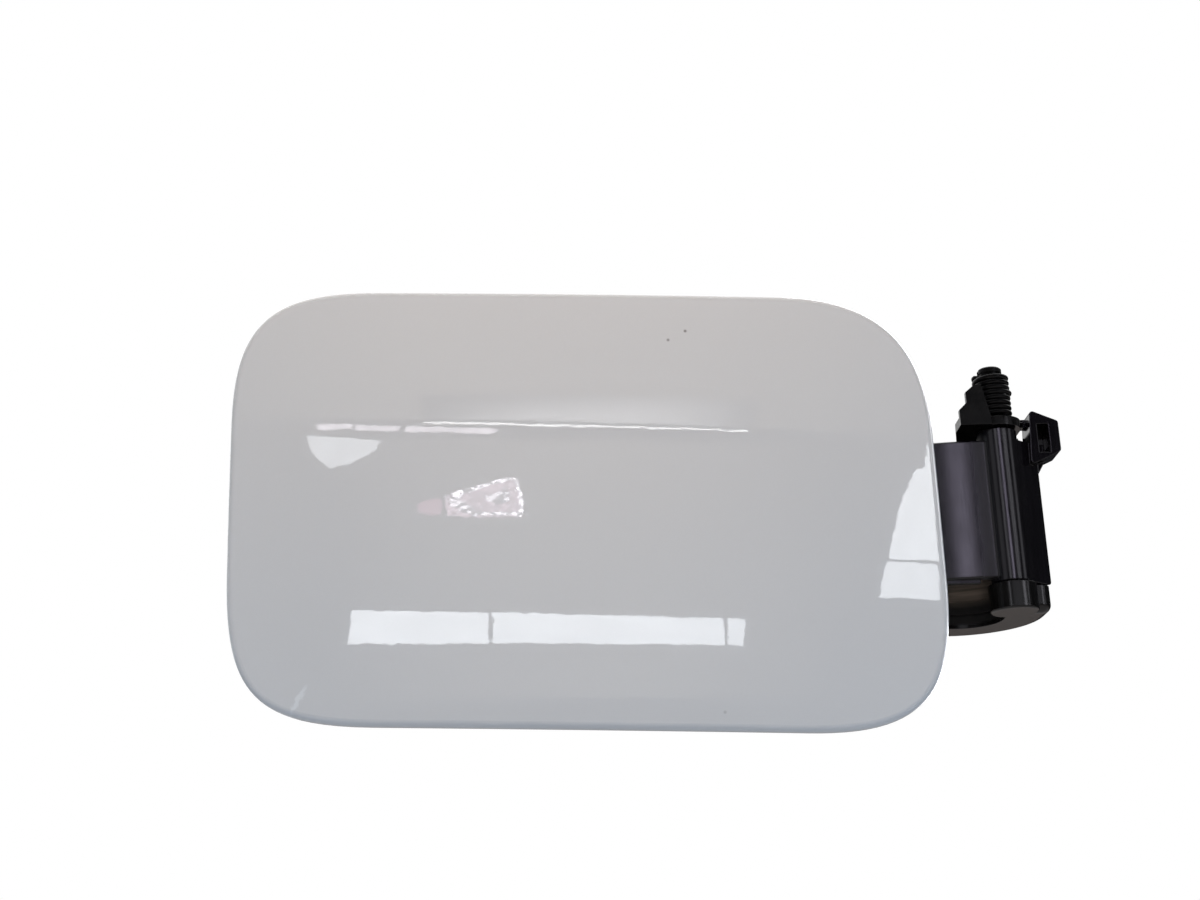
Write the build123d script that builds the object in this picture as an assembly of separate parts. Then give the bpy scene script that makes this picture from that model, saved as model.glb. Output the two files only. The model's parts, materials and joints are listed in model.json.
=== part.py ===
from build123d import *
import os
from math import asin, cos, degrees, pi, radians, sin, tan

# Car fuel door: a hemmed sheet-steel flap on a sprung gooseneck hinge. Sizes are in millimetres.
# +Z runs up the hinge axis, X to the right along the flap seen from outside, Y into the car.
# The origin is on the hinge axis, half way up the barrel of the bearing block.

# Flap outline
flap_length = 192.8          # between the two side edges
flap_height = 123.0          # between the top and bottom edges, along Z
edge_lean = 2.7              # degrees by which the top and bottom edges fall to the right
corner_reach = 39.7          # length of edge that each corner takes up
near_top_fullness = 0.68     # how far a corner is drawn out towards a square one, at the hinge
near_bottom_fullness = 0.75
far_bottom_fullness = 0.80   # the same for the corners away from the hinge
far_top_fullness = 0.75
corner_shrink = 1.34         # corner reach lost for each unit of inset
hinge_to_flap = 20.2         # from the hinge axis to the near side edge
flap_rise = 2.0              # centre of the flap above the origin
flap_front = 15.0            # crown of the flap in front of the hinge axis
crown_share = 0.6            # of the flap's length and height that the crown covers each way
crown_radius_height = 700.0
crown_radius_length = 2500.0

# Flap sheets
skin_thickness = 0.8
inner_thickness = 0.8
hem_gap = 0.05               # sealer film in the hem, on each side of the inner panel
hem_width = 8.0
fold_wall = 1.3              # skin at the bend of the hem
fold_play = 0.3              # inner panel short of the bend
edge_radius = 1.9            # rounding of the flap's front edge

# Inner tray
tray_back = 3.2              # rear face of the tray in front of the hinge axis
tray_inset = 13.5            # rear face of the tray in from the flap's edge
tray_wall_angle = 25.0       # lean of the tray's wall
tray_edge_radius = 3.0       # outside of the bend round the tray's rear face
dimple_length = 46.0
dimple_width = 18.0
dimple_spacing = 44.0        # between the two dimples
dimple_slope = 3.0           # how much a dimple narrows on each side
dimple_depth = 6.0           # towards the skin
drain_radius = 4.0
drain_inset_x = 52.0         # drain holes in from the side edges
drain_inset_z = 27.0         # drain holes in from the top and bottom edges

# Bearing block
barrel_radius = 5.6
barrel_length = 44.0
plate_top_drop = 3.3         # barrel's top end above the plate
plate_bottom_rise = 1.3      # barrel's lower end below the plate
plate_tab = 1.1              # how much lower the far part of the plate reaches
plate_tab_start = 9.0        # from the hinge axis
plate_reach = 19.5           # from the hinge axis to the plate's end
plate_back = 0.7             # rear face of the plate in front of the axis
plate_thickness = 3.0
plate_radius = 60.0          # bulge of the plate's front
plate_peak = 8.0             # most forward line of the bulge, from the hinge axis
root_fillet = 1.6
plate_end_radius = 0.9       # rounding of the plate's far end
block_chamfer = 0.4          # along the plate's and the barrel's ends
wing_angle = 40.0
wing_reach = 10.2            # from where the wing leaves the barrel
wing_thickness = 3.0
wing_corner = 1.0            # rounding of the wing's lower outer corner

# Snap socket on the block
socket_start = 9.6           # left side of the socket, from the hinge axis
socket_lean = 1.0            # how much farther left the left side stands at its foot
socket_width = 7.8
socket_drop = 10.3           # underside of the socket below the barrel's top end
socket_rise = 5.8            # top of the socket above the barrel's top end
socket_low_slope = 3.8       # how much the underside rises to the far side
socket_high_slope = 3.5      # how much the top falls to the far side
socket_front = 2.0           # in front of the hinge axis
socket_depth = 9.0
pocket_width = 3.2
pocket_height = 8.4
pocket_side_wall = 1.7       # left of the pocket
pocket_base_wall = 3.5       # under the pocket
pocket_back_wall = 1.6
socket_corner = 0.9
neck_drop = 4.0              # gusset under the socket
hook_width = 1.8
hook_foot = 3.0              # underside of the hook above the barrel's top end
hook_height = 2.3
leg_gap = 0.1                # between the hook and the spring's leg
hook_depth = 3.0

# Gooseneck arm
neck_radius = 22.3           # outside of the bend
neck_end = 10.8              # outside of the bend to the right of the hinge axis
neck_y = 9.0                 # centre of the bend behind the hinge axis
cheek_inner_radius = 10.2    # inside of the bend
neck_wall = 2.5
lower_cheek = 7.5
upper_cheek = 2.5
axial_play = 0.3             # between block and arm at each end of the barrel
knuckle_radius = 6.65
upper_ring_radius = 7.0
upper_start_angle = 15.0     # where the upper cheek and the wall begin round the bend
wall_start_angle = 25.0
cheek_end_radius = 3.5       # corner where the lower cheek meets its knuckle
cheek_round = 2.5            # rounding of the lower cheek's outer rim
arm_edge = 0.6               # rounding along the arm's other edges
cheek_groove = 0.6
cheek_groove_height = 0.7
foot_length = 48.0
foot_thickness = 4.0
foot_root_width = 42.0
foot_shoulder = 4.0
foot_tip_width = 26.0
foot_rib_height = 9.0
foot_rib_gap = 2.0           # from the rib's end to the last screw's head
foot_corner = 6.0
fin_left = 11.2              # from the hinge axis
fin_right = 2.5
fin_height = 9.2             # above the upper cheek
fin_step_height = 1.9
fin_step = 2.2
fin_shoulder = 2.1
fin_top_left = 6.4
fin_top_right = 4.4
fin_front = 7.2              # in front of the hinge axis
fin_thickness = 1.6

# Hinge pin and spring
pin_radius = 3.0
running_clearance = 0.05     # radial, pin in block
press_clearance = 0.01       # radial, pin in arm
pin_tip_wall = 1.8           # arm left under the pin's blind end
pin_end_gap = 0.2
pin_head_radius = 3.4
pin_head_height = 1.5
pin_chamfer = 0.4
wire_diameter = 1.4
coil_radius = 4.45           # mean radius of the spring
coil_turns = 8.25
coil_pitch = 1.5
coil_seat_gap = 0.15         # spring above the upper cheek, pin's head above the spring
lower_leg = 9.0
tang_reach = 2.2             # end of the wire past the pin's axis, in the pin's slot
slot_clearance = 0.1         # round the wire in the pin's slot

# Screws and nuts
screw_radius = 2.5
screw_length = 10.0
screw_head_radius = 4.6
screw_head_height = 3.0
screw_recess_radius = 1.7
screw_recess_depth = 1.6
hole_clearance = 0.25
thread_clearance = 0.05
nut_radius = 4.6
nut_height = 4.0
nut_flange_radius = 6.5
nut_flange = 1.0
arm_screw_rows = 26.0        # between the two screws near the bend
arm_screw_near = 14.0        # from the foot's bend to the first screws
arm_screw_far = 34.0         # from the foot's bend to the last screw

# Latch striker
striker_inset = 16.5         # from the far side edge to the striker's base
striker_base_width = 21.0
striker_base_height = 40.0
striker_base = 3.0
striker_corner = 4.0
tongue_offset = 5.5          # from the base's far side to the tongue
tongue_thickness = 4.0
tongue_width = 18.0
tongue_height = 17.0
lock_hole_radius = 4.0
lock_hole_height = 10.5
striker_screw_pitch = 29.0
rib_thickness = 2.4
rib_reach = 9.0

# Rubber bump stops
stop_inset_x = 26.0          # from the side edges
stop_inset_z = 24.0          # from the top and bottom edges
stop_radius = 6.0
stop_height = 7.0
stop_dome = 2.2
stop_neck_radius = 3.0
stop_bulb_radius = 4.2
stop_bulb_height = 4.0

# Places worked out from the sizes
flap_x = -hinge_to_flap - flap_length / 2
lean_slope = tan(radians(edge_lean))
hem_stack = skin_thickness * 2 + inner_thickness + 2 * hem_gap
inner_front = skin_thickness + hem_gap
tray_y = -tray_back
tray_front_y = tray_y - inner_thickness
dimple_y = tray_front_y - dimple_depth
barrel_end = barrel_length / 2
plate_top = barrel_end - plate_top_drop
plate_bottom = plate_bottom_rise - barrel_end
socket_low = barrel_end - socket_drop
socket_high = barrel_end + socket_rise
arm_low = -barrel_end - axial_play - lower_cheek
lower_cheek_top = -barrel_end - axial_play
upper_cheek_low = barrel_end + axial_play
arm_high = upper_cheek_low + upper_cheek
neck_x = neck_end - neck_radius
foot_start = neck_x - neck_radius + neck_wall
foot_y = tray_y + foot_thickness
coil_slope = coil_pitch / (2 * pi * coil_radius)
coil_low = arm_high + coil_seat_gap + wire_diameter / 2 + lower_leg * coil_slope
coil_high = coil_low + coil_turns * coil_pitch
fin_top = arm_high + fin_height
head_low = coil_high + wire_diameter / 2 + coil_seat_gap
pin_low = arm_low + pin_tip_wall + pin_end_gap


def edge_shift(x):
    """Rise of the leaning top and bottom edges at a place along the flap."""
    return flap_rise - (x - flap_x) * lean_slope


def rod(radius, low, high):
    """Upright cylinder on the hinge axis."""
    return extrude(Pos(0, 0, low) * Circle(radius), amount=high - low)


def slab(sketch, low, high):
    """A profile drawn in the XY plane, raised between two heights."""
    return extrude(Pos(0, 0, low) * sketch, amount=high - low)


def facing_in(x, y, z):
    """Work plane on the flap that looks into the car."""
    return Plane(origin=(x, y, z), x_dir=(1, 0, 0), z_dir=(0, 1, 0))


def facing_out(x, y, z):
    """Work plane that looks out of the car."""
    return Plane(origin=(x, y, z), x_dir=(1, 0, 0), z_dir=(0, -1, 0))


def peg(radius, x, z, front, back):
    """Cylinder along Y between two depths."""
    return extrude(facing_in(x, front, z) * Circle(radius), amount=back - front)


def outline(inset, y):
    """Face of the flap's outline at a depth: straight edges joined by full, squarish corners."""
    half_length = flap_length / 2 - inset
    half_height = flap_height / 2 - inset / cos(radians(edge_lean))
    reach = corner_reach - corner_shrink * inset
    along = Vector(cos(radians(edge_lean)), -sin(radians(edge_lean)))
    up = Vector(0, 1)
    corners = []
    for side, level, fullness in ((1, 1, near_top_fullness), (1, -1, near_bottom_fullness),
                                  (-1, -1, far_bottom_fullness), (-1, 1, far_top_fullness)):
        tip = Vector(side * half_length, level * half_height - side * half_length * lean_slope)
        to_edge = along * -side
        to_side = up * -level
        handle = reach * fullness
        curve = [tip + to_edge * reach, tip + to_edge * (reach - handle),
                 tip + to_side * (reach - handle), tip + to_side * reach]
        corners.append(curve if side * level > 0 else curve[::-1])
    edges = []
    for curve, following in zip(corners, corners[1:] + corners[:1]):
        edges.append(Bezier(*curve))
        edges.append(Line(curve[-1], following[0]))
    return facing_out(flap_x, y, flap_rise) * make_face(edges)


def flap_prism(inset):
    """The flap's outline carried straight through the whole depth of the flap."""
    return extrude(outline(inset, 0), amount=2 * flap_front)


def behind_crown(depth):
    """All that lies behind the flap's crowned front, set back by a depth."""
    half_span = crown_share * flap_height
    radius = crown_radius_height - depth
    half_angle = degrees(asin(half_span / radius))
    front = CenterArc((crown_radius_height - flap_front, 0), radius, 180 - half_angle, 2 * half_angle)
    back = Polyline(front @ 1, (flap_front, -half_span), (flap_front, half_span), front @ 0)
    plane = Plane(origin=(flap_x, 0, flap_rise), x_dir=(0, 1, 0), z_dir=(1, 0, 0))
    axis = Axis((flap_x, crown_radius_length - flap_front, 0), (0, 0, 1))
    sweep_angle = degrees(asin(crown_share * flap_length / crown_radius_length))
    face = (plane * make_face([front, back])).rotate(axis, -sweep_angle)
    return revolve(face, axis, 2 * sweep_angle)


def tray_wall_inset(y):
    """How far in from the flap's edge the outside of the tray's wall stands at a depth."""
    return tray_inset - (tray_y - y) * tan(radians(tray_wall_angle))


def tray_block(set_in, back, bend_radius):
    """Solid inside the tray's wall, from the crown of the flap to a rear face with rounded edges."""
    front = -flap_front
    ends = [outline(tray_wall_inset(y) + set_in, y) for y in (front, back)]
    block = loft(ends, ruled=True)
    return fillet(block.faces().sort_by(Axis.Y)[-1].edges(), bend_radius)


def dimple_places():
    return [flap_x - dimple_spacing / 2, flap_x + dimple_spacing / 2]


def dimple(x, front, grow, back):
    """Tapered oblong press mark, measured on its outside."""
    height = edge_shift(x)
    small = facing_in(x, front, height) * SlotOverall(dimple_length - 2 * dimple_slope + grow,
                                                      dimple_width - 2 * dimple_slope + grow, 90)
    large = facing_in(x, back, height) * SlotOverall(dimple_length + grow, dimple_width + grow, 90)
    return loft([small, large], ruled=True)


def stop_places():
    side = flap_length / 2 - stop_inset_x
    rise = flap_height / 2 - stop_inset_z
    places = []
    for across, level in ((-1, 1), (1, 1), (1, -1), (-1, -1)):
        x = flap_x + across * side
        places.append((x, edge_shift(x) + level * rise))
    return places


def drain_places():
    side = flap_length / 2 - drain_inset_x
    rise = flap_height / 2 - drain_inset_z
    places = []
    for across, level in ((-1, -1), (1, -1), (-1, 1), (1, 1)):
        x = flap_x + across * side
        places.append((x, edge_shift(x) + level * rise))
    return places


def arm_screw_places():
    near = foot_start - neck_wall - arm_screw_near
    far = foot_start - neck_wall - arm_screw_far
    middle = (arm_low + arm_high) / 2
    return [(near, middle + arm_screw_rows / 2), (near, middle - arm_screw_rows / 2), (far, middle)]


def striker_place():
    """Middle of the striker's base."""
    x = flap_x - flap_length / 2 + striker_inset + striker_base_width / 2
    return x, edge_shift(x)


def striker_screw_places():
    x, z = striker_place()
    return [(x + striker_base_width / 2 - striker_corner - screw_radius, z + level * striker_screw_pitch / 2)
            for level in (1, -1)]


def make_outer_panel():
    """Skin with its edge folded back over the inner panel."""
    blank = flap_prism(0) & (behind_crown(0) - behind_crown(hem_stack))
    front = blank.faces().sort_by(Axis.Y)[0]
    blank = fillet(front.edges(), edge_radius)
    slot = flap_prism(fold_wall) & (behind_crown(skin_thickness) - behind_crown(hem_stack - skin_thickness))
    window = flap_prism(hem_width) & behind_crown(skin_thickness)
    return blank - slot - window


def make_inner_panel():
    """Stamped tray whose flange lies in the hem."""
    cavity = tray_block(inner_thickness / cos(radians(tray_wall_angle)), tray_front_y,
                        tray_edge_radius - inner_thickness)
    flange = flap_prism(fold_wall + fold_play) & (behind_crown(inner_front)
                                                  - behind_crown(inner_front + inner_thickness))
    tray = tray_block(0, tray_y, tray_edge_radius) & behind_crown(inner_front)
    panel = flange + tray - cavity
    for x in dimple_places():
        panel += dimple(x, dimple_y, 0, tray_front_y)
        panel -= dimple(x, dimple_y + inner_thickness, -2 * inner_thickness, tray_y)
    for x, z in drain_places():
        panel -= peg(drain_radius, x, z, tray_front_y, tray_y)
    for x, z in stop_places():
        panel -= peg(stop_neck_radius + press_clearance, x, z, tray_front_y, tray_y)
    for x, z in arm_screw_places() + striker_screw_places():
        panel -= peg(screw_radius + hole_clearance, x, z, tray_front_y, tray_y)
    return panel


def make_mastic_pad(x):
    """Anti-flutter mastic between a dimple and the skin."""
    pad = extrude(facing_in(x, -flap_front, edge_shift(x))
                  * SlotOverall(dimple_length - 3 * dimple_slope, dimple_width - 3 * dimple_slope, 90),
                  amount=flap_front + dimple_y)
    return pad & behind_crown(skin_thickness)


def make_hinge_base():
    """Bearing block: barrel, plate, wing and snap socket in one moulding."""
    plate_y = -plate_back - plate_thickness
    front = ThreePointArc(*[(x, plate_y + (x + plate_peak)**2 / (2 * plate_radius))
                            for x in (-plate_reach, -plate_reach / 2, 0)])
    rest = Polyline(front @ 1, (0, -plate_back), (-plate_reach, -plate_back), front @ 0)
    wing_root = Vector(sin(radians(wing_angle)), -cos(radians(wing_angle))) * barrel_radius
    wing_way = Vector(cos(radians(wing_angle)), sin(radians(wing_angle)))
    wing_in = Vector(-sin(radians(wing_angle)), cos(radians(wing_angle)))
    wing_tip = wing_root + wing_way * wing_reach
    wing = make_face(Polyline(wing_root, wing_tip, wing_tip + wing_in * wing_thickness,
                              wing_root + wing_in * wing_thickness, close=True))
    profile = Circle(barrel_radius) + make_face([front, rest])
    roots = [corner for corner in profile.vertices()
             if abs(Vector(corner).length - barrel_radius) < press_clearance and corner.X < 0]
    profile = fillet(roots, root_fillet)
    profile = fillet(profile.vertices().sort_by(Axis.X)[:2], plate_end_radius)
    plate = slab(profile, plate_bottom, plate_top)
    ends = plate.faces().sort_by(Axis.Z)
    plate = chamfer(ends[0].edges() + ends[-1].edges(), block_chamfer)
    barrel = rod(barrel_radius, -barrel_end, barrel_end)
    block = plate + chamfer(barrel.edges().filter_by(GeomType.CIRCLE), block_chamfer)
    flank = slab(wing, -barrel_end, plate_top)
    block += fillet(flank.faces().sort_by(Axis.Z)[0].edges().sort_by(Axis.X)[-1], wing_corner)
    tab = Pos(-plate_reach, -plate_back, plate_bottom - plate_tab) * Box(
        plate_reach - plate_tab_start, plate_thickness / 2, plate_tab + block_chamfer,
        align=(Align.MIN, Align.MAX, Align.MIN))
    block += tab
    block += make_snap_socket(wing_tip)
    return block - rod(pin_radius + running_clearance, -barrel_end, barrel_end)


def make_snap_socket(wing_tip):
    """Tapered socket with a blind pocket, its gusset and the hook for the spring's leg."""
    end = socket_start + socket_width
    side = Polyline((socket_start - socket_lean, socket_low), (end, socket_low + socket_low_slope),
                    (end, socket_high - socket_high_slope), (socket_start, socket_high), close=True)
    socket = extrude(facing_out(0, -socket_front, 0) * make_face(side), amount=-socket_depth)
    socket = fillet(socket.edges().filter_by(Axis.Y), socket_corner)
    pocket = Pos(socket_start + pocket_side_wall, -socket_front, socket_low + pocket_base_wall) * Box(
        pocket_width, socket_depth - pocket_back_wall, pocket_height, align=(Align.MIN, Align.MIN, Align.MIN))
    gusset_side = Polyline((wing_tip.X - wing_thickness, plate_top), (socket_start + neck_drop, plate_top),
                           (socket_start + neck_drop, socket_low + neck_drop / 2),
                           (wing_tip.X - wing_thickness / 2, socket_low - neck_drop), close=True)
    gusset = extrude(facing_out(0, wing_tip.Y, 0) * make_face(gusset_side), amount=-wing_thickness)
    hook_front = coil_radius + wire_diameter / 2 + leg_gap
    hook = Pos(socket_start - hook_width, hook_front, barrel_end + hook_foot) * Box(
        hook_width + socket_corner, hook_depth, hook_height, align=(Align.MIN, Align.MIN, Align.MIN))
    return socket - pocket + gusset + hook


def bend(inner_radius, start_angle):
    """Part of the neck's bend, from a start angle round to the leg that rises to the foot."""
    band = Circle(neck_radius) - Circle(inner_radius)
    reach = 2 * neck_radius
    start = radians(start_angle)
    wedge = make_face(Polyline((0, 0), (reach * cos(start), reach * sin(start)), (reach, reach),
                               (-reach, reach), (-reach, 0), close=True))
    leg = Pos(-neck_radius, tray_y - neck_y) * Rectangle(neck_radius - inner_radius, neck_y - tray_y,
                                                         align=(Align.MIN, Align.MIN))
    return Pos(neck_x, neck_y) * ((band & wedge) + leg)


def make_hinge_arm():
    """Gooseneck: a channel between two cheeks, with knuckles on the pin and a foot on the flap."""
    leg_x = foot_start - neck_wall
    end_leg = Rectangle(neck_radius - cheek_inner_radius, neck_y, align=(Align.MAX, Align.MIN))
    lower_shape = bend(cheek_inner_radius, 0) + Pos(neck_end, 0) * end_leg
    lower_shape = fillet(lower_shape.vertices().sort_by(Axis.X)[-2:].sort_by(Axis.Y)[0], cheek_end_radius)
    lower = slab(lower_shape, arm_low, lower_cheek_top)
    centre = Vector(neck_x, neck_y, arm_low)
    rim = [edge for edge in lower.faces().sort_by(Axis.Z)[0].edges()
           if (edge @ 0.5 - centre).length > neck_radius - neck_wall and (edge @ 0.5).Y > tray_y]
    lower = fillet(rim, cheek_round)
    knuckle = rod(knuckle_radius, arm_low, lower_cheek_top)
    lower += fillet(knuckle.edges().filter_by(GeomType.CIRCLE).sort_by(Axis.Z)[0], arm_edge)
    groove_low = (arm_low + lower_cheek_top - cheek_groove_height) / 2
    groove_ring = Circle(cheek_inner_radius + cheek_groove) - Circle(cheek_inner_radius - cheek_groove)
    groove_ring &= Rectangle(2 * neck_radius, neck_radius, align=(Align.CENTER, Align.MIN))
    groove = slab(Pos(neck_x, neck_y) * groove_ring, groove_low, groove_low + cheek_groove_height)
    bridge_back = neck_y + cheek_inner_radius
    bridge = make_face(Polyline((-fin_left, 0), (upper_ring_radius, 0), (upper_ring_radius, bridge_back),
                                (-upper_ring_radius, bridge_back), close=True))
    upper = slab(bend(cheek_inner_radius, upper_start_angle) + Circle(upper_ring_radius) + bridge,
                 upper_cheek_low, arm_high)
    wall = slab(bend(neck_radius - neck_wall, wall_start_angle), arm_low + cheek_round, arm_high)
    middle = (arm_low + arm_high) / 2
    root = (arm_high - arm_low) / 2
    half_shape = [(leg_x + neck_wall, root), (leg_x, root), (leg_x - foot_shoulder, foot_root_width / 2),
                  (leg_x - arm_screw_near, foot_root_width / 2), (leg_x - foot_length, foot_tip_width / 2)]
    foot_shape = Polyline([(x, middle + half) for x, half in half_shape]
                          + [(x, middle - half) for x, half in reversed(half_shape)], close=True)
    foot = extrude(facing_out(0, foot_y, 0) * make_face(foot_shape), amount=foot_thickness)
    tips = foot.edges().filter_by(Axis.Y).sort_by(Axis.X)[:2]
    foot = fillet(tips, foot_corner)
    foot = chamfer(foot.faces().sort_by(Axis.Y)[-1].edges(), arm_edge)
    foot_rib_length = arm_screw_far - screw_head_radius - foot_rib_gap
    rib_shape = make_face(Polyline((leg_x + neck_wall, foot_y), (leg_x + neck_wall, foot_y + foot_rib_height),
                                   (leg_x - foot_rib_length, foot_y), close=True))
    ribs = slab(rib_shape, middle - neck_wall / 2, middle + neck_wall / 2)
    arm = lower - groove + upper + wall + foot + ribs + make_fin()
    arm -= rod(pin_radius + press_clearance, pin_low - pin_end_gap, arm_high)
    for x, z in arm_screw_places():
        arm -= peg(screw_radius + hole_clearance, x, z, tray_y, foot_y)
    return arm


def make_fin():
    """Spring guard that stands on the upper cheek beside the coil."""
    step = arm_high + fin_step_height
    side = Polyline((-fin_left, upper_cheek_low), (-fin_left, step),
                    (-fin_left + fin_step, step + fin_shoulder),
                    (-fin_left + fin_step, fin_top - fin_shoulder), (-fin_top_left, fin_top),
                    (-fin_top_right, fin_top), (-fin_right, arm_high),
                    (-fin_right, upper_cheek_low), close=True)
    fin = extrude(facing_out(0, -fin_front, 0) * make_face(side), amount=-fin_thickness)
    lug = Pos(-fin_left, -fin_front, upper_cheek_low) * Box(
        fin_left - fin_right, fin_front, upper_cheek, align=(Align.MIN, Align.MIN, Align.MIN))
    return fin + lug


def make_hinge_pin():
    """Headed pin, pressed into the arm, with a slot across its top for the spring's end."""
    shank = rod(pin_radius, pin_low, head_low)
    head = rod(pin_head_radius, head_low, head_low + pin_head_height)
    pin = shank + head
    ends = pin.edges().filter_by(GeomType.CIRCLE).sort_by(Axis.Z)
    pin = chamfer([ends[0], ends[-1]], pin_chamfer)
    slot_width = wire_diameter + 2 * slot_clearance
    slot = Pos(0, 0, coil_high - slot_width / 2) * Box(
        2 * pin_head_radius, slot_width, head_low + pin_head_height,
        align=(Align.CENTER, Align.CENTER, Align.MIN))
    return pin - slot


def make_torsion_spring():
    """Close coil with a leg at the block's hook and an end that crosses the pin in its slot."""
    wire = Circle(wire_diameter / 2)
    path = Rot(0, 0, 90) * Helix(pitch=coil_pitch, height=coil_turns * coil_pitch, radius=coil_radius,
                                 center=(0, 0, coil_low))
    coil = sweep(Plane(origin=path @ 0, z_dir=path % 0) * wire, path=path, is_frenet=True)
    leg = extrude(Plane(origin=path @ 0, z_dir=path % 0 * -1) * wire, amount=lower_leg)
    top = path @ 1
    elbow = Pos(top) * Sphere(wire_diameter / 2)
    tang = extrude(Plane(origin=top, z_dir=(-top.X, -top.Y, 0)) * wire, amount=coil_radius + tang_reach)
    return coil + leg + elbow + tang


def make_screw(x, z, seat):
    """Pan-head screw driven into the flap from inside the car."""
    screw = peg(screw_radius, x, z, seat - screw_length, seat) + peg(screw_head_radius, x, z, seat,
                                                                    seat + screw_head_height)
    rims = screw.edges().filter_by(GeomType.CIRCLE).sort_by(Axis.Y)
    screw = fillet(rims[-1], screw_head_height / 2)
    recess_floor = seat + screw_head_height - screw_recess_depth
    hexagon = facing_in(x, recess_floor, z) * RegularPolygon(screw_recess_radius, 6)
    return screw - extrude(hexagon, amount=screw_recess_depth)


def make_nut(x, z):
    """Flanged weld nut on the front of the tray."""
    nut_front = tray_front_y - nut_height
    body = extrude(facing_in(x, nut_front, z) * RegularPolygon(nut_radius, 6), amount=nut_height)
    flange = peg(nut_flange_radius, x, z, tray_front_y - nut_flange, tray_front_y)
    return body + flange - peg(screw_radius + thread_clearance, x, z, nut_front, tray_front_y)


def make_latch_striker():
    """Base plate with a ribbed tongue that the lock's pin goes through."""
    x, z = striker_place()
    base_shape = RectangleRounded(striker_base_width, striker_base_height, striker_corner)
    base = extrude(facing_in(x, tray_y, z) * base_shape, amount=striker_base)
    base = chamfer(base.faces().sort_by(Axis.Y)[-1].edges(), arm_edge)
    tongue_x = x - striker_base_width / 2 + tongue_offset
    side_on = Plane(origin=(tongue_x, tray_y, z), x_dir=(0, 0, -1), z_dir=(1, 0, 0))
    half = tongue_width / 2
    nose = make_face(Polyline((-half, 0), (half, 0), (half, lock_hole_height), (half / 2, tongue_height),
                              (-half / 2, tongue_height), (-half, lock_hole_height), close=True))
    striker = base + extrude(side_on * nose, amount=tongue_thickness)
    rib_side = make_face(Polyline((tongue_x, tray_y + striker_base),
                                  (tongue_x + tongue_thickness + rib_reach, tray_y + striker_base),
                                  (tongue_x + tongue_thickness, tray_y + lock_hole_height),
                                  (tongue_x, tray_y + lock_hole_height), close=True))
    for level in (1, -1):
        middle = z + level * (tongue_width - rib_thickness) / 2
        striker += slab(rib_side, middle - rib_thickness / 2, middle + rib_thickness / 2)
    striker -= extrude(side_on * Pos(0, lock_hole_height) * Circle(lock_hole_radius), amount=tongue_thickness)
    for screw_x, screw_z in striker_screw_places():
        striker -= peg(screw_radius + hole_clearance, screw_x, screw_z, tray_y, tray_y + striker_base)
    return striker


def make_bump_stop(x, z):
    """Rubber buffer pushed through a hole in the tray: bulb in front, domed head behind."""
    shoulder = stop_height - stop_dome
    stop_dome_radius = (stop_radius**2 + stop_dome**2) / (2 * stop_dome)
    sides = Polyline((0, stop_height), (0, -inner_thickness - stop_bulb_height),
                     (stop_neck_radius / 2, -inner_thickness - stop_bulb_height),
                     (stop_bulb_radius, -inner_thickness), (stop_neck_radius, -inner_thickness),
                     (stop_neck_radius, 0), (stop_radius, 0), (stop_radius, shoulder))
    dome = RadiusArc((stop_radius, shoulder), (0, stop_height), -stop_dome_radius)
    profile = Plane(origin=(x, tray_y, z)) * make_face([sides, dome])
    return revolve(profile, Axis((x, tray_y, z), (0, 1, 0)))


def make_parts():
    left_pad, right_pad = dimple_places()
    striker_seat = tray_y + striker_base
    parts = {
        "outer_panel": make_outer_panel(),
        "inner_panel": make_inner_panel(),
        "mastic_pad_left": make_mastic_pad(left_pad),
        "mastic_pad_right": make_mastic_pad(right_pad),
        "hinge_base": make_hinge_base(),
        "hinge_arm": make_hinge_arm(),
        "hinge_pin": make_hinge_pin(),
        "torsion_spring": make_torsion_spring(),
        "arm_screws": Compound([make_screw(x, z, foot_y) for x, z in arm_screw_places()]),
        "arm_nuts": Compound([make_nut(x, z) for x, z in arm_screw_places()]),
        "latch_striker": make_latch_striker(),
        "striker_screws": Compound([make_screw(x, z, striker_seat) for x, z in striker_screw_places()]),
        "striker_nuts": Compound([make_nut(x, z) for x, z in striker_screw_places()]),
    }
    for number, (x, z) in enumerate(stop_places(), 1):
        parts[f"bump_stop_{number}"] = make_bump_stop(x, z)
    return parts


os.makedirs("parts", exist_ok=True)
for name, shape in make_parts().items():
    export_step(shape, f"parts/{name}.step")
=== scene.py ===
import json
import math
import random

import bpy
from mathutils import Euler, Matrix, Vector


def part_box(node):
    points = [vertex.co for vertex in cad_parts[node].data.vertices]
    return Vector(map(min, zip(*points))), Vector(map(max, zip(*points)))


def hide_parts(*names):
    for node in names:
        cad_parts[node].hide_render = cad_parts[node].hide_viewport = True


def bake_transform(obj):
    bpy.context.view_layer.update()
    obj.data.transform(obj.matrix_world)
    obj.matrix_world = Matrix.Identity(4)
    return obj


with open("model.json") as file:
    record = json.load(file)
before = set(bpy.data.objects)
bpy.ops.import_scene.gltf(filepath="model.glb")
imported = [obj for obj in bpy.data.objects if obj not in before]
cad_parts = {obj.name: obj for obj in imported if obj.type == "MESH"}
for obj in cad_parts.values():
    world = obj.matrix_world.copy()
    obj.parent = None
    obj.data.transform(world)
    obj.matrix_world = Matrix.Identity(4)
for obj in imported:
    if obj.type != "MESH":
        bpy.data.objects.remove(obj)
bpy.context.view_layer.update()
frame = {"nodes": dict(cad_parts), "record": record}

NODES = frame["nodes"]

# Sizes shared with the solids, in metres
WIRE = 0.0014
COIL_RADIUS = 0.00445
CROWN_RADIUS_HEIGHT = 0.7
CROWN_RADIUS_LENGTH = 2.5

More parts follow.
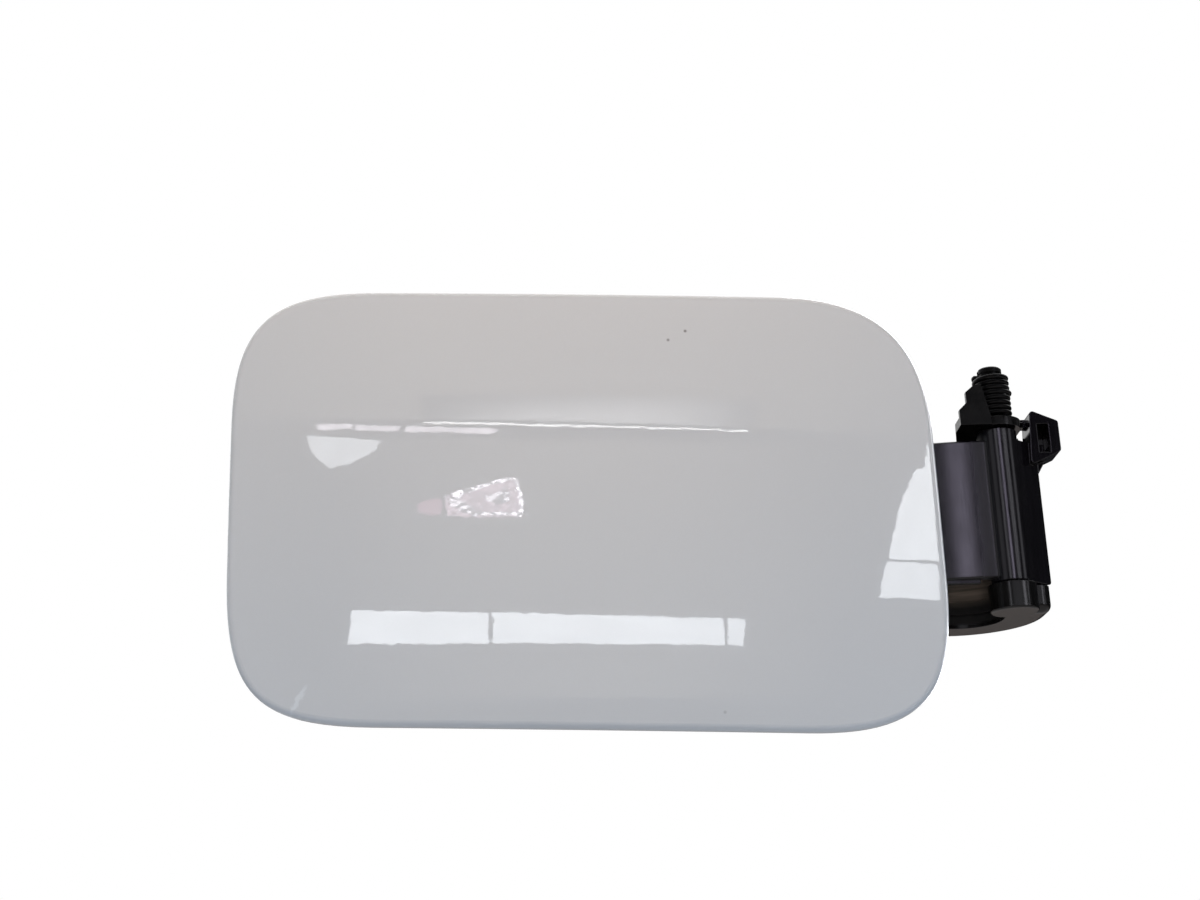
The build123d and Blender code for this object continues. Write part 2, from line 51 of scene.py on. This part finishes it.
# Crown of the flap's face
FLAP_LOW, FLAP_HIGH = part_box("outer_panel")
CROWN = Vector(((FLAP_LOW.x + FLAP_HIGH.x) / 2, FLAP_LOW.y, (FLAP_LOW.z + FLAP_HIGH.z) / 2))

# Camera, fitted to the photograph
CAMERA = Vector((-0.1198, -0.47802, -0.13443))
CAMERA_ANGLES = (107.986, 2.049, -0.309)
FOCAL_LENGTH = 53.7

# Stage
FLOOR_HEIGHT = -0.4
FLOOR_REACH = 9.0
STRIP_DISTANCE = 1.45
CURTAIN_RADIUS = 2.3


# Materials

class Look:
    """One procedural material and short ways to add nodes to it."""

    def __init__(self, name):
        self.material = bpy.data.materials.new(name)
        self.material.use_nodes = True
        self.tree = self.material.node_tree
        self.shader = self.tree.nodes["Principled BSDF"]
        self.coords = self.tree.nodes.new("ShaderNodeTexCoord")
        self.place = self.coords.outputs["Object"]

    def node(self, kind, **settings):
        made = self.tree.nodes.new(kind)
        for key, value in settings.items():
            setattr(made, key, value)
        return made

    def join(self, source, target):
        self.tree.links.new(source, target)

    def feed(self, socket, value):
        if isinstance(value, bpy.types.NodeSocket):
            self.join(value, socket)
        else:
            socket.default_value = value

    def set(self, **values):
        for key, value in values.items():
            self.feed(self.shader.inputs[key.replace("_", " ")], value)

    def scaled(self, x, y, z):
        mapping = self.node("ShaderNodeMapping")
        mapping.inputs["Scale"].default_value = (x, y, z)
        self.join(self.place, mapping.inputs["Vector"])
        return mapping.outputs["Vector"]

    def split(self, vector=None):
        """The x, y and z of a vector, or else of the place on the piece."""
        made = self.node("ShaderNodeSeparateXYZ")
        self.join(vector or self.place, made.inputs[0])
        return list(made.outputs)

    def noise(self, scale, detail=2.0, roughness=0.5, vector=None):
        made = self.node("ShaderNodeTexNoise")
        made.inputs["Scale"].default_value = scale
        made.inputs["Detail"].default_value = detail
        made.inputs["Roughness"].default_value = roughness
        self.join(vector or self.place, made.inputs["Vector"])
        return made.outputs["Fac"]

    def ramp(self, value, low, high, at_low, at_high):
        made = self.node("ShaderNodeMapRange")
        self.feed(made.inputs["Value"], value)
        made.inputs["From Min"].default_value = low
        made.inputs["From Max"].default_value = high
        made.inputs["To Min"].default_value = at_low
        made.inputs["To Max"].default_value = at_high
        return made.outputs["Result"]

    def mix(self, share, a, b):
        made = self.node("ShaderNodeMix", data_type="RGBA")
        self.feed(made.inputs["Factor"], share)
        self.feed(made.inputs[6], a)
        self.feed(made.inputs[7], b)
        return made.outputs[2]

    def math(self, operation, first, *others):
        """The values joined one after another, or a function of the one value."""
        for other in others or (0.0,):
            made = self.node("ShaderNodeMath", operation=operation)
            self.feed(made.inputs[0], first)
            self.feed(made.inputs[1], other)
            first = made.outputs[0]
        return first

    def distance(self, vector, point):
        made = self.node("ShaderNodeVectorMath", operation="DISTANCE")
        self.join(vector, made.inputs[0])
        made.inputs[1].default_value = point
        return made.outputs["Value"]

    def bump(self, height, strength, distance, round_edges=0.0):
        made = self.node("ShaderNodeBump")
        made.inputs["Strength"].default_value = strength
        made.inputs["Distance"].default_value = distance
        self.join(height, made.inputs["Height"])
        if round_edges:
            bevel = self.node("ShaderNodeBevel", samples=6)
            bevel.inputs["Radius"].default_value = round_edges
            self.join(bevel.outputs["Normal"], made.inputs["Normal"])
        self.join(made.outputs["Normal"], self.shader.inputs["Normal"])
        return made.outputs["Normal"]


def rgb(r, g, b):
    return (r, g, b, 1.0)


def scuff(look):
    """1 along the short slanting scuff near the flap's lower far corner."""
    middle_x, middle_z, slant = -0.1932, -0.0492, 0.62
    x, y, z = look.split()
    along = look.math("SUBTRACT", z, middle_z)
    wander = look.ramp(look.noise(500.0, 2.0), 0.3, 0.7, -0.0007, 0.0007)
    across = look.math("SUBTRACT", x, middle_x)
    across = look.math("ADD", across, look.math("MULTIPLY", along, -slant), wander)
    line = look.ramp(look.math("ABSOLUTE", across), 0.0004, 0.0010, 1.0, 0.0)
    ends = look.ramp(look.math("ABSOLUTE", along), 0.0022, 0.0042, 1.0, 0.0)
    front = look.ramp(y, -0.0095, -0.0105, 0.0, 1.0)
    return look.math("MULTIPLY", line, ends, front)


def paint():
    look = Look("paint")
    specks = [((-0.0918, -0.01337, 0.0479), 0.75), ((-0.0869, -0.01314, 0.0505), 0.85),
              ((-0.0818, -0.01232, -0.0564), 0.3)]
    broad = look.noise(9.0, 2.0)
    flake = look.noise(2600.0, 1.0)
    colour = look.mix(look.ramp(broad, 0.35, 0.65, 0.0, 1.0),
                      rgb(0.600, 0.603, 0.612), rgb(0.608, 0.610, 0.618))
    colour = look.mix(look.ramp(flake, 0.4, 0.8, 0.0, 0.10), colour, rgb(0.70, 0.705, 0.71))
    for place, share in specks:
        spot = look.ramp(look.distance(look.place, place), 0.0002, 0.0006, 1.0, 0.0)
        colour = look.mix(look.math("MULTIPLY", spot, share), colour, rgb(0.16, 0.15, 0.15))
    colour = look.mix(look.math("MULTIPLY", scuff(look), 0.5), colour, rgb(0.78, 0.80, 0.82))
    look.set(Base_Color=colour, Roughness=0.5, Coat_Weight=1.0, Coat_Roughness=0.015, Coat_IOR=1.5,
             Specular_IOR_Level=0.2)
    peel = look.bump(look.noise(460.0, 1.0), 0.005, 0.0004)
    look.set(Coat_Normal=peel)
    return look.material


def block_plastic():
    look = Look("block_plastic")
    streak = look.noise(1.0, 4.0, 0.65, look.scaled(1500.0, 700.0, 60.0))
    fine = look.noise(1.0, 2.0, 0.6, look.scaled(5200.0, 3000.0, 160.0))
    cloud = look.noise(160.0, 3.0)
    colour = look.mix(look.ramp(streak, 0.35, 0.7, 0.0, 1.0),
                      rgb(0.0024, 0.0021, 0.0029), rgb(0.0055, 0.0050, 0.0066))
    # Plate, its dull root beside the barrel, barrel, and smooth wing and socket, from left to right
    x = look.split()[0]
    plate = look.ramp(x, -0.0060, -0.0045, 0.20, 0.17)
    root = look.math("MULTIPLY", look.ramp(x, -0.0085, -0.0070, 0.0, 0.22),
                     look.ramp(x, -0.0050, -0.0042, 1.0, 0.0))
    wing = look.ramp(x, 0.0058, 0.0066, 0.0, -0.09)
    rough = look.math("ADD", plate, root, look.ramp(cloud, 0.3, 0.7, -0.03, 0.04),
                      look.ramp(fine, 0.3, 0.7, -0.02, 0.03), wing)
    look.set(Base_Color=colour, Roughness=rough)
    look.bump(look.math("ADD", streak, fine), 0.07, 0.0001, 0.0004)
    return look.material


def arm_plastic():
    """Smooth black; the hollow is dull, with a brown band below its middle that is partly grime and partly
    painted warm light.
    """
    look = Look("arm_plastic")
    cloud = look.noise(220.0, 4.0, 0.6)
    grain = look.noise(3200.0, 2.0)
    layers = look.noise(1.0, 3.0, 0.6, look.scaled(40.0, 40.0, 700.0))
    colour = look.mix(look.ramp(cloud, 0.35, 0.7, 0.0, 1.0),
                      rgb(0.0016, 0.0016, 0.0017), rgb(0.0036, 0.0034, 0.0034))
    _, y, z = look.split()
    bend_middle = (-0.0115, 0.009, 0.0)
    from_bend = look.distance(look.scaled(1.0, 1.0, 0.0), bend_middle)
    hollow = look.math("MULTIPLY", look.ramp(y, 0.008, 0.012, 0.0, 1.0),
                       look.ramp(from_bend, 0.0200, 0.0208, 1.0, 0.0),
                       look.ramp(z, -0.0290, -0.0280, 0.0, 1.0))
    # Brown band in the hollow: partly grime, partly painted warm light standing in for its lit ledges; the
    # layers noise paints light and dark bands across it.
    dust_and_painted_light = look.math("MULTIPLY", hollow, look.ramp(z, -0.0240, -0.0210, 0.0, 1.0),
                     look.ramp(z, -0.004, -0.008, 0.0, 1.0), look.ramp(layers, 0.35, 0.6, 0.35, 1.0))
    colour = look.mix(dust_and_painted_light, colour, rgb(0.075, 0.062, 0.052))
    rough = look.math("ADD", look.ramp(cloud, 0.3, 0.7, 0.17, 0.25), look.math("MULTIPLY", hollow, 0.4))
    look.set(Base_Color=colour, Roughness=rough)
    look.bump(grain, 0.015, 0.0001, 0.0002)
    return look.material


def dark_steel(name, low, high, rough_low, rough_high):
    look = Look(name)
    wear = look.noise(700.0, 3.0, 0.6)
    look.set(Base_Color=look.mix(look.ramp(wear, 0.35, 0.7, 0.0, 1.0), low, high), Metallic=0.55,
             Roughness=look.ramp(wear, 0.3, 0.7, rough_low, rough_high))
    look.bump(look.noise(4200.0, 2.0), 0.08, 0.0001, 0.0002)
    return look.material


def zinc():
    look = Look("zinc")
    bloom = look.noise(520.0, 3.0, 0.6)
    colour = look.mix(look.ramp(bloom, 0.35, 0.7, 0.0, 1.0), rgb(0.42, 0.42, 0.40), rgb(0.62, 0.61, 0.56))
    look.set(Base_Color=colour, Metallic=1.0, Roughness=look.ramp(bloom, 0.3, 0.7, 0.24, 0.42))
    look.bump(bloom, 0.05, 0.0002, 0.0003)
    return look.material


def soft_black(name, low, high, grain_scale):
    look = Look(name)
    cloud = look.noise(260.0, 3.0)
    look.set(Base_Color=look.mix(look.ramp(cloud, 0.3, 0.7, 0.0, 1.0), low, high),
             Roughness=look.ramp(cloud, 0.3, 0.7, 0.6, 0.8))
    look.bump(look.noise(grain_scale, 2.0), 0.15, 0.0003, 0.0004)
    return look.material


LOOKS = {
    "paint": paint(),
    "block_plastic": block_plastic(),
    "arm_plastic": arm_plastic(),
    "pin_steel": dark_steel("pin_steel", rgb(0.008, 0.008, 0.009), rgb(0.016, 0.015, 0.016), 0.34, 0.44),
    "spring_steel": dark_steel("spring_steel", rgb(0.005, 0.005, 0.006), rgb(0.011, 0.010, 0.011),
                               0.28, 0.38),
    "zinc": zinc(),
    "rubber": soft_black("rubber", rgb(0.012, 0.012, 0.012), rgb(0.022, 0.022, 0.022), 2400.0),
    "mastic": soft_black("mastic", rgb(0.05, 0.05, 0.055), rgb(0.08, 0.08, 0.085), 900.0),
}
for part in frame["record"]["subparts"]:
    data = NODES[part["node"]].data
    data.materials.clear()
    data.materials.append(LOOKS[part["material_slot"]])


# Visual pieces

def mesh_object(name, points, faces, material, smooth=True):
    data = bpy.data.meshes.new(name)
    data.from_pydata(points, [], faces)
    data.materials.append(material)
    data.polygons.foreach_set("use_smooth", [smooth] * len(faces))
    made = bpy.data.objects.new(name, data)
    bpy.context.scene.collection.objects.link(made)
    return made


def tube(name, path, radius, material, sides=20):
    """Round wire along a path of points, with closed ends."""
    points, faces = [], []
    across = None
    for i, here in enumerate(path):
        way = (path[min(i + 1, len(path) - 1)] - path[max(i - 1, 0)]).normalized()
        if across is None:
            across = way.orthogonal().normalized()
        across = (across - way * across.dot(way)).normalized()
        other = way.cross(across)
        for k in range(sides):
            turn = 2 * math.pi * k / sides
            points.append(here + (across * math.cos(turn) + other * math.sin(turn)) * radius)
    for i in range(len(path) - 1):
        for k in range(sides):
            n = (k + 1) % sides
            faces.append((i * sides + k, i * sides + n, (i + 1) * sides + n, (i + 1) * sides + k))
    faces.append(tuple(reversed(range(sides))))
    faces.append(tuple(range((len(path) - 1) * sides, len(path) * sides)))
    return mesh_object(name, points, faces, material)


# Torsion spring, wound between the block's hook and the slot of the pin

def torsion_spring():
    turns, pitch, low = 8.25, 0.0015, 0.02613
    leg, tang = 0.009, 0.0022
    bulge, bulge_height, bulge_reach = 0.0005, 0.0331, 0.0006    # one turn stands out a little on its right
    steps, end_steps = 56, 6
    slope = pitch / (2 * math.pi * COIL_RADIUS)
    path = []
    for i in range(end_steps):
        left = leg * (1 - i / end_steps)
        path.append(Vector((left, COIL_RADIUS, low - left * slope)))
    for i in range(int(turns * steps) + 1):
        angle = math.pi / 2 + 2 * math.pi * i / steps
        height = low + pitch * i / steps
        near = math.exp(-((height - bulge_height) / bulge_reach) ** 2)
        radius = COIL_RADIUS + bulge * near * max(0.0, math.cos(angle)) ** 2
        path.append(Vector((radius * math.cos(angle), radius * math.sin(angle), height)))
    top = path[-1].z
    for i in range(1, end_steps + 1):
        path.append(Vector((-COIL_RADIUS + (COIL_RADIUS + tang) * i / end_steps, 0.0, top)))
    spring = tube("spring", path, WIRE / 2, LOOKS["spring_steel"], 16)
    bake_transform(spring)
    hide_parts("torsion_spring")
    return spring


SPRING = torsion_spring()


# Stage, light and camera

def lit(name, pieces):
    """The pieces that some of the lights are kept to."""
    made = bpy.data.collections.new(name)
    for piece in pieces:
        made.objects.link(piece)
    return made


DOOR = lit("door_lit", [NODES["outer_panel"]])
ARM = lit("arm_lit", [NODES["hinge_arm"]])
BLOCK = lit("block_lit", [NODES["hinge_base"]])
COIL = lit("coil_lit", [NODES["hinge_base"], NODES["hinge_pin"], SPRING])


# Room that the paint reflects

def ragged(corners, size):
    """The outline with its sides broken into short, uneven steps."""
    uneven = random.Random(5)
    out = []
    for a, b in zip(corners, corners[1:] + corners[:1]):
        count = max(1, int((b - a).length / (4 * size)))
        across = (b - a).cross(Vector((0, 1, 0))).normalized() * size
        for i in range(count):
            shift = uneven.uniform(-1, 1) if i else 0.0
            out.append(a + (b - a) * i / count + across * shift)
    return out


def mirrored(x, z, distance):
    """Where a panel stands that the camera sees mirrored in the flap's crowned face.

    x and z are the reflection's place on the face, in millimetres from the crown.
    """
    ring = CROWN_RADIUS_LENGTH - CROWN_RADIUS_HEIGHT
    tilt = math.asin(z / 1000 / CROWN_RADIUS_HEIGHT)
    turn = math.asin(x / 1000 / (ring + CROWN_RADIUS_HEIGHT * math.cos(tilt)))
    out = Vector((math.sin(turn), -math.cos(turn), 0.0))
    normal = out * math.cos(tilt) + Vector((0.0, 0.0, math.sin(tilt)))
    spot = CROWN + Vector((0.0, CROWN_RADIUS_LENGTH, 0.0)) + out * ring + normal * CROWN_RADIUS_HEIGHT
    return spot + (spot - CAMERA).normalized().reflect(normal) * distance


def emitter(name, colour, strength, distance, outline, fade=None, dots=1.0, swell=0.0, rough=0.0):
    """Light panel behind the camera that the paint reflects; the camera itself does not see it.

    outline is where its reflection lies on the face, in millimetres from the crown; distance is how far the
    panel stands from there. fade is (axis, dark end, bright end) across the panel's box; dots is the least
    share of light between bright dots; swell is the share of light lost towards the panel's two sides; rough
    is the unevenness of its edge in metres.
    """
    look = Look(name)
    box = look.coords.outputs["Generated"]
    ways = look.split(box)
    level = look.ramp(look.noise(3.0, 2.0, 0.5, box), 0.35, 0.65, 0.9 * strength, strength)
    if swell:
        off = look.math("SUBTRACT", ways[0], 0.5)
        off = look.math("MULTIPLY", off, off)
        level = look.math("MULTIPLY", level, look.ramp(off, 0.0, 0.25, 1.0, 1.0 - swell))
    if fade:
        axis, dark, bright = fade
        level = look.math("MULTIPLY", level, look.ramp(ways[axis], dark, bright, 0.0, 1.0))
    if dots < 1.0:
        level = look.math("MULTIPLY", level, look.ramp(look.noise(110.0, 1.0), 0.45, 0.56, dots, 1.0))
    glow = look.node("ShaderNodeEmission")
    glow.inputs["Color"].default_value = colour
    look.join(level, glow.inputs["Strength"])
    look.tree.nodes.remove(look.shader)
    look.join(glow.outputs[0], look.tree.nodes["Material Output"].inputs["Surface"])
    corners = [mirrored(x, z, distance) for x, z in outline]
    if rough:
        corners = ragged(corners, rough)
    panel = mesh_object(name, corners, [tuple(range(len(corners)))], look.material, False)
    panel.visible_camera = False
    panel.visible_shadow = False
    panel.light_linking.receiver_collection = DOOR


WHITE = rgb(1.0, 1.0, 1.0)
WARM = rgb(1.0, 0.90, 0.78)
COLD = rgb(0.93, 0.965, 1.0)
LILAC = rgb(1.0, 0.93, 1.0)

# Distances, so that one panel stands before another
FAR, BAND, BODY, LAMP, FRONT = 2.0, 1.56, 1.52, 1.5, 1.48

emitter("ceiling_light", WARM, 1.15, FAR, [(-110, 69), (109, 61), (103.5, 14.5), (-107.5, 27)], swell=1.0)
emitter("middle_card", WARM, 0.85, FAR, [(-69, 19.5), (70, 13.5), (65, -56), (-68.5, -51.5)], swell=1.0)
emitter("band_light", WHITE, 3.6, BAND, [(-44, 31.5), (49, 26.5), (46.5, 19), (-43, 24.3)],
        fade=(2, 1.0, 0.4), swell=1.0)
emitter("line_light", WHITE, 13.0, LAMP,
        [(-43.3, 23.6), (-6, 21.3), (45.6, 18.3), (45.6, 17.9), (-6, 20.8), (-43.3, 23.1)])

HATCHES = [
    [(-72.8, 24.1), (-62.6, 23.8), (-62.9, 22.1), (-72.2, 22.3)],
    [(-61.8, 23.5), (-49.2, 22.5), (-49.7, 21.1), (-62.2, 21.9)],
    [(-47.5, 22.5), (-23, 20.8), (-25.2, 19.4), (-48.4, 21)],
]
for number, outline in enumerate(HATCHES, 1):
    emitter(f"hatch_{number}", LILAC, 8.5, LAMP, outline, dots=0.75)
emitter("wedge_light", COLD, 6.5, LAMP,
        [(-75.4, 21), (-64.8, 20), (-54.2, 18.6), (-55.3, 16.1), (-63.7, 12.6), (-69.2, 11.9), (-71.4, 13.8),
         (-74, 16.9)], rough=0.0015)

emitter("fan_body", rgb(1.0, 0.78, 0.88), 6.5, BODY,
        [(-37.8, 2), (-30.8, 4.3), (-20.2, 7.3), (-18.3, 6.6), (-17.3, 3.2), (-16.9, -1), (-17.5, -4.6),
         (-28.2, -4.4), (-37.4, -3.6)], dots=0.6)
emitter("fan_tip", rgb(1.0, 0.55, 0.70), 3.4, BODY,
        [(-44.9, -0.2), (-43.3, 0.8), (-39.7, 1.5), (-38.7, 1.2), (-38.7, -3), (-41.7, -3.2), (-44.6, -2.2)])
emitter("fan_top", LILAC, 16.0, FRONT,
        [(-36.2, 2.8), (-28.1, 5.3), (-20.2, 7.4), (-19.4, 6.4), (-27.6, 4.2), (-35.7, 1.6)],
        dots=0.15, rough=0.001)
emitter("fan_left", LILAC, 14.0, FRONT,
        [(-36.5, 2), (-34.3, 2.4), (-33, 0.4), (-29.5, -2.8), (-29.8, -3.6), (-33.6, -2.6), (-36.3, -0.6)],
        dots=0.15, rough=0.0015)
emitter("fan_bottom", LILAC, 16.0, FRONT,
        [(-33, -2.1), (-25.5, -2.8), (-16.9, -3.3), (-16.9, -4.1), (-25.5, -3.8), (-30.9, -3.6)],
        dots=0.15, rough=0.001)
emitter("fan_right", LILAC, 18.0, FRONT,
        [(-19.4, 7), (-18.1, 6.4), (-16.8, 2.6), (-16.6, -1.3), (-16.9, -4.6), (-17.9, -4.6), (-17.7, -1),
         (-18.1, 2.7), (-19.2, 5.5)], dots=0.4, rough=0.001)
emitter("fan_middle", LILAC, 12.0, FRONT,
        [(-27.1, 1.6), (-24.1, 2.6), (-21.1, 3.4), (-20.6, -0.3), (-23.6, -0.9), (-26.6, 0.2)],
        dots=0.15, rough=0.0015)

emitter("strip_left", COLD, 10.5, LAMP,
        [(-62.5, -28.2), (-26.8, -30), (-27, -38.5), (-63.5, -37)], rough=0.0015)
emitter("strip_middle", COLD, 10.5, LAMP,
        [(-25.5, -30), (35.3, -33.7), (35.4, -40.9), (-25.9, -38.2)], rough=0.0015)
emitter("strip_right", COLD, 9.5, LAMP,
        [(36.4, -33.7), (41.9, -34.1), (41, -41.3), (36.2, -40.9)], rough=0.001)

emitter("window_upper", COLD, 9.8, LAMP,
        [(81.3, -18.7), (82.6, -12.7), (85.2, -4.4), (88.6, 2.9), (90.8, 6.3), (91.9, 6), (92.9, 7.7),
         (93.9, 15.4), (94.3, 15.4), (94.5, 6.2), (94.3, -5.7), (94.2, -19.6)], rough=0.0015)
emitter("window_lower", COLD, 9.0, LAMP,
        [(80.4, -19.5), (94.1, -20.4), (93.2, -30.5), (90.8, -30.6), (90, -30), (77.4, -29.4), (78.5, -25.7)],
        rough=0.001)


# Lamps

def softbox(name, place, aim, width, height, power, colour, on=None, glossy=True, diffuse=True):
    """Area lamp, kept to some of the pieces if they are given, and to gloss or to plain light alone."""
    light = bpy.data.lights.new(name, "AREA")
    light.shape = "RECTANGLE"
    light.size = width
    light.size_y = height
    light.energy = power
    light.color = colour
    made = bpy.data.objects.new(name, light)
    made.location = place
    made.rotation_euler = (Vector(aim) - Vector(place)).to_track_quat("-Z", "Y").to_euler()
    if on:
        made.light_linking.receiver_collection = on
    made.visible_glossy = glossy
    made.visible_diffuse = diffuse
    bpy.context.scene.collection.objects.link(made)


MIDDLE = (-0.1, 0.0, 0.0)
HINGE = (0.0, 0.0, 0.0)
ORANGE = (1.0, 0.35, 0.05)
BLUE = (0.2, 0.58, 1.0)
softbox("key", (-0.3, -0.9, 1.3), MIDDLE, 1.2, 0.8, 14.4, (1.0, 0.955, 0.855), glossy=False)
softbox("door_warm", (-0.115, -0.22, 0.22), (-0.115, -0.012, 0.05), 0.2, 0.1, 0.06, ORANGE,
        DOOR, glossy=False)
softbox("door_cool_far", (-0.36, -0.20, -0.22), (-0.20, -0.01, -0.03), 0.15, 0.15, 0.12, BLUE,
        DOOR, glossy=False)
softbox("door_cool_near", (0.12, -0.20, -0.20), (-0.03, -0.01, -0.03), 0.15, 0.15, 0.13, BLUE,
        DOOR, glossy=False)
softbox("rear_fill", (-0.2, 1.2, 0.7), MIDDLE, 1.0, 0.8, 8.0, (1.0, 1.0, 1.0), glossy=False)
softbox("edge_glow", (1.17, 0.85, 0.45), HINGE, 2.6, 1.6, 72.0, (0.97, 0.98, 1.0), DOOR, diffuse=False)
softbox("hollow_fill", (-0.10, -0.48, -0.13), (-0.01, 0.02, -0.02), 0.08, 0.08, 1.4, (1.0, 0.95, 0.9), ARM,
        glossy=False)


def strip(name, azimuth, width, glow, colour, on, top=0.85):
    """Upright lamp that the hinge reflects, at an angle from straight in front towards the flap's right."""
    turn = math.radians(azimuth)
    bottom = -0.05
    height = top - bottom
    place = (STRIP_DISTANCE * math.sin(turn), -STRIP_DISTANCE * math.cos(turn), (top + bottom) / 2)
    softbox(name, place, HINGE, width, height, glow * math.pi * width * height, colour, on)


PURPLE = (0.84, 0.78, 1.0)
COOL = (0.92, 0.92, 1.0)
LOW_TOP = 0.42    # low enough that the arm's upper face does not mirror the strip in views from above
strip("plate_strip", 3.5, 0.24, 4.2, PURPLE, BLOCK)
strip("barrel_strip_far", -45.0, 0.6, 0.5, COOL, BLOCK)
strip("barrel_strip_left", -16.0, 0.26, 1.5, COOL, BLOCK)
strip("barrel_strip_right", 29.0, 0.22, 1.8, COOL, BLOCK)
strip("barrel_strip_side", 70.0, 0.4, 0.9, COOL, BLOCK)
strip("knuckle_strip_0", -27.0, 0.12, 3.0, COOL, ARM, LOW_TOP)
strip("knuckle_strip_1", 8.0, 1.2, 0.6, COOL, ARM, LOW_TOP)
strip("knuckle_strip_2", 43.0, 0.30, 3.3, COOL, ARM, LOW_TOP)
strip("knuckle_strip_3", 63.0, 0.10, 2.2, COOL, ARM, LOW_TOP)
strip("coil_strip", 40.0, 0.20, 2.0, COOL, COIL)


# Floor, curtains and background

def floor():
    """Pale floor that keeps the shadow and turns whiter with distance for the camera."""
    look = Look("floor")
    rays = look.node("ShaderNodeLightPath")
    reach = look.distance(look.place, (0.0, 0.0, 0.0))
    tint = look.mix(look.noise(6.0), rgb(0.55, 0.52, 0.50), rgb(0.59, 0.56, 0.54))
    tint = look.mix(look.ramp(reach, 0.7, 1.8, 0.0, 1.0), tint, rgb(0.385, 0.30, 0.245))
    pale = look.ramp(reach, 0.7, 5.0, 0.36, 0.86)
    look.set(Base_Color=tint, Roughness=0.9, Emission_Color=rgb(0.93, 0.96, 1.0),
             Emission_Strength=look.math("MULTIPLY", rays.outputs["Is Camera Ray"], pale))
    signs = ((-1, -1), (1, -1), (1, 1), (-1, 1))
    corners = [Vector((x * FLOOR_REACH, y * FLOOR_REACH, FLOOR_HEIGHT)) for x, y in signs]
    mesh_object("floor", corners, [(0, 1, 2, 3)], look.material, False)


floor()

CLOTH = Look("curtain")
CLOTH.set(Base_Color=CLOTH.mix(CLOTH.noise(2.0), rgb(0.045, 0.046, 0.05), rgb(0.05, 0.051, 0.055)),
          Roughness=0.9)


def curtain(name, first, last, top):
    """Dark cloth from one angle to another, which only the gloss shows: it shades nothing."""
    rail = []
    for angle in range(first, last + 1, 10):
        turn = math.radians(angle)
        for height in (FLOOR_HEIGHT + 0.01, top):
            rail.append(Vector((CURTAIN_RADIUS * math.sin(turn), -CURTAIN_RADIUS * math.cos(turn), height)))
    faces = [(i, i + 1, i + 3, i + 2) for i in range(0, len(rail) - 2, 2)]
    made = mesh_object(name, rail, faces, CLOTH.material, False)
    made.visible_camera = False
    made.visible_diffuse = False
    made.visible_shadow = False


curtain("curtain_front", -110, 100, 6.5)
curtain("curtain_far_right", 100, 190, 1.1)

world = bpy.data.worlds.new("studio")
bpy.context.scene.world = world
world.use_nodes = True
sky = world.node_tree
sky.nodes.clear()
sky_rays = sky.nodes.new("ShaderNodeLightPath")


def background(colour, strength):
    made = sky.nodes.new("ShaderNodeBackground")
    made.inputs["Color"].default_value = colour
    made.inputs["Strength"].default_value = strength
    return made.outputs[0]


def choose(ray, otherwise, chosen):
    made = sky.nodes.new("ShaderNodeMixShader")
    sky.links.new(sky_rays.outputs[ray], made.inputs[0])
    sky.links.new(otherwise, made.inputs[1])
    sky.links.new(chosen, made.inputs[2])
    return made.outputs[0]


seen = background(rgb(0.58, 0.64, 0.74), 0.62)
backdrop = background(WHITE, 1.0)
for ray in ("Is Transmission Ray", "Is Glossy Ray", "Is Camera Ray"):
    seen = choose(ray, seen, backdrop)
shown = sky.nodes.new("ShaderNodeOutputWorld")
sky.links.new(seen, shown.inputs["Surface"])


# Camera

lens = bpy.data.cameras.new("camera")
lens.sensor_width = 36.0
lens.lens = FOCAL_LENGTH
lens.clip_start = 0.01
lens.clip_end = 20.0
camera = bpy.data.objects.new("camera", lens)
camera.location = CAMERA
camera.rotation_euler = Euler([math.radians(a) for a in CAMERA_ANGLES])
bpy.context.scene.collection.objects.link(camera)
bpy.context.scene.camera = camera
bpy.context.scene.view_settings.view_transform = "Standard"
